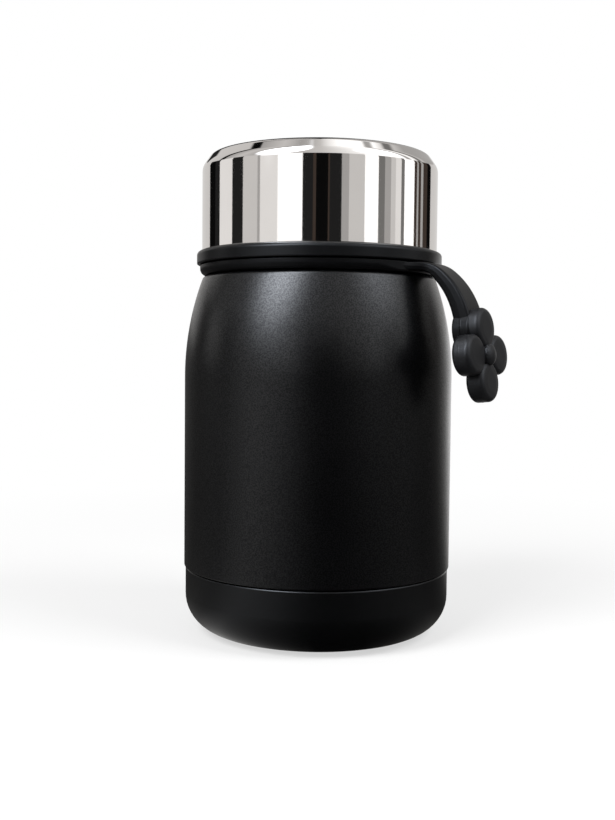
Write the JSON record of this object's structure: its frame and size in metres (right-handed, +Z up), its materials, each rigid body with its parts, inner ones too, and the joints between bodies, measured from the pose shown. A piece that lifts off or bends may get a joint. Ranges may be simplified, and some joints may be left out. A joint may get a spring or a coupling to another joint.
{
  "type": "travel mug",
  "caption": "Small vacuum-walled travel mug with a polished steel screw cap, a powder-coated body and base cup, and a silicone neck strap that ends in a flower.",
  "frame": {"origin": "middle of the foot pad's lower face, on the surface that the mug stands on", "axes": "+Z up along the mug's axis, +X towards the strap and its flower"},
  "size_m": [0.0806, 0.066, 0.1168],
  "materials": {
    "body_coat": "fine-grained near-black powder coat on steel",
    "base_coat": "smooth satin black coat on steel",
    "liner_steel": "bare stainless steel, finely brushed round the axis",
    "plate_steel": "bare drawn steel",
    "copper_foil": "copper foil",
    "solder": "dull solder",
    "getter_alloy": "pressed metal powder",
    "foot_silicone": "matte silicone",
    "polished_steel": "mirror-polished stainless steel",
    "cap_plastic": "matte black moulded plastic",
    "foam": "closed-cell foam",
    "gasket_silicone": "translucent white silicone",
    "strap_silicone": "matte charcoal silicone",
    "flower_silicone": "matte charcoal silicone"
  },
  "bodies": {
    "mug": {"outer_shell": "body_coat", "inner_liner": "liner_steel", "liner_bottom": "liner_steel", "heat_shield_foil": "copper_foil", "bottom_plate": "plate_steel", "seal_bead": "solder", "getter": "getter_alloy", "base_cup": "base_coat", "foot_pad": "foot_silicone"},
    "lid_seal": {"lid_gasket": "gasket_silicone"},
    "lid": {"cap_shell": "polished_steel", "cap_liner": "cap_plastic", "lid_insulation": "foam"},
    "strap": {"strap_ring": "strap_silicone", "flower_charm": "flower_silicone"}
  },
  "joints": [
    {"name": "lid_lift", "type": "slide", "parent": "mug", "child": "lid_seal", "axis": [0, 0, 1], "range_m": [0, 0.02]},
    {"name": "lid_turn", "type": "hinge", "parent": "lid_seal", "child": "lid", "pos_m": [0, 0, 0.1], "axis": [0, 0, 1], "range_deg": [0, 600]},
    {"name": "strap_swivel", "type": "hinge", "parent": "mug", "child": "strap", "pos_m": [0, 0, 0.0888], "axis": [0, 0, 1], "continuous": true}
  ],
  "couplings": [
    {"joint": "lid_lift", "follows": "lid_turn", "m_per_rad": 0.0019098}
  ]
}
